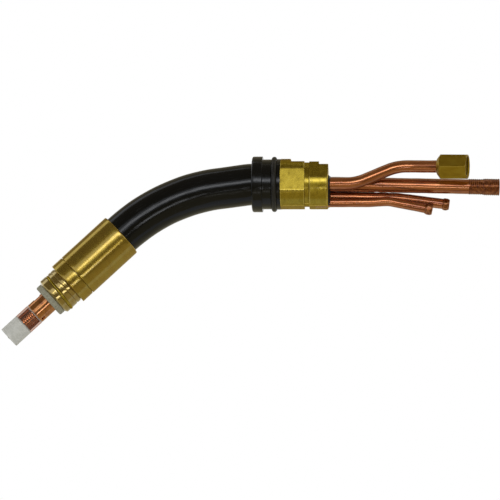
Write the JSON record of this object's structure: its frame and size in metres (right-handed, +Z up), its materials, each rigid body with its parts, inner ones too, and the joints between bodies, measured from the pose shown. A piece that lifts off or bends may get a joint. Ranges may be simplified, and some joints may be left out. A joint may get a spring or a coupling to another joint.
{
  "type": "mig welding torch neck",
  "caption": "Water-cooled MIG torch swan neck with a brass jacket and nozzle seat, black bent neck, collar, rear block and connection tubes.",
  "frame": {"origin": "middle of the collar's flange, on the axis of the rear body", "axes": "+X to the rear along the tubes, +Z up, the bent front end points down in the XZ plane, the union nut leans to -Y"},
  "size_m": [0.2775, 0.0373, 0.1078],
  "materials": {
    "brass_jacket": "fine turned",
    "brass_seat": "polished",
    "brass_block": "milled",
    "brass_nut": "dull",
    "copper_holder": "turned",
    "copper_tube": "oxidised",
    "neck_black": "glossy",
    "collar_black": "satin",
    "seal_rubber": "matte",
    "washer_grey": "matte",
    "cap_white": "translucent"
  },
  "bodies": {
    "torch": {"tip_holder": "copper_holder", "front_insulator": "washer_grey", "nozzle_seat": "brass_seat", "seat_spring_ring": "brass_nut", "jacket_front_ring": "brass_jacket", "jacket_sleeve": "brass_jacket", "jacket_core": "brass_jacket", "jacket_seals": "seal_rubber", "neck_sleeve": "neck_black", "neck_tube": "brass_jacket", "water_feed_line": "copper_tube", "water_return_line": "copper_tube", "collar": "collar_black", "collar_o_ring": "seal_rubber", "rear_block": "brass_block", "rear_plug": "collar_black", "wire_conduit": "copper_tube", "conduit_thread_end": "copper_tube", "power_tube": "copper_tube", "power_nipple": "brass_nut", "gas_tube": "copper_tube", "gas_barb": "copper_tube", "water_tube": "copper_tube", "water_barb": "copper_tube"},
    "cap": {"thread_cap": "cap_white"},
    "nut": {"union_nut": "brass_nut"}
  },
  "joints": [
    {"name": "cap_pull", "type": "slide", "parent": "torch", "child": "cap", "axis": [-0.7242, 0, -0.6896], "range_m": [0, 0.03]},
    {"name": "nut_spin", "type": "hinge", "parent": "torch", "child": "nut", "pos_m": [0.10621, -0.01205, 0.00698], "axis": [0.9744, -0.2157, -0.0639], "continuous": true}
  ]
}
